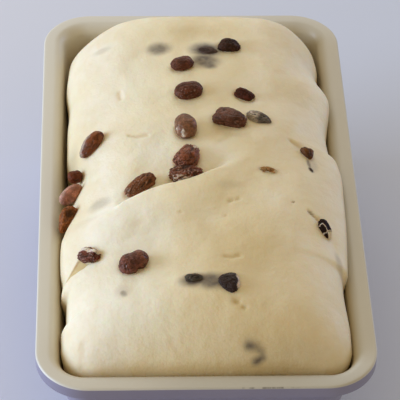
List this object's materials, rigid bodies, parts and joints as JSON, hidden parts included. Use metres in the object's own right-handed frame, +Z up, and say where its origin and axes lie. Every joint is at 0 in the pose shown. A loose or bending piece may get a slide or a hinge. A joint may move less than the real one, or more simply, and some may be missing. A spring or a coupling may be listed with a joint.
{
  "type": "raisin bread dough in loaf tin",
  "caption": "Risen raisin bread dough, unbaked, domed over the flat rim of its own loaf tin, with raisins showing in its skin.",
  "frame": {"origin": "under the middle of the tin's base, on the surface it stands on", "axes": "+Z up, +Y along the tin to its back end, +X to the right seen from the front end"},
  "size_m": [0.125, 0.22, 0.0919],
  "materials": {
    "tin_paint": "semi-gloss cream coating, dull lilac-grey outside the rim",
    "dough": "matte raw dough, smooth skin",
    "raisin": "wrinkled, half-glossy dried fruit"
  },
  "bodies": {
    "root": {"loaf_tin": "tin_paint", "dough": "dough", "raisin_01": "raisin", "raisin_02": "raisin", "raisin_03": "raisin", "raisin_04": "raisin", "raisin_05": "raisin", "raisin_06": "raisin", "raisin_07": "raisin", "raisin_08": "raisin", "raisin_09": "raisin", "raisin_10": "raisin", "raisin_11": "raisin", "raisin_12": "raisin", "raisin_13": "raisin", "raisin_14": "raisin", "raisin_15": "raisin", "raisin_16": "raisin", "raisin_17": "raisin", "raisin_18": "raisin", "raisin_19": "raisin", "raisin_20": "raisin", "raisin_21": "raisin", "raisin_22": "raisin"}
  },
  "joints": []
}
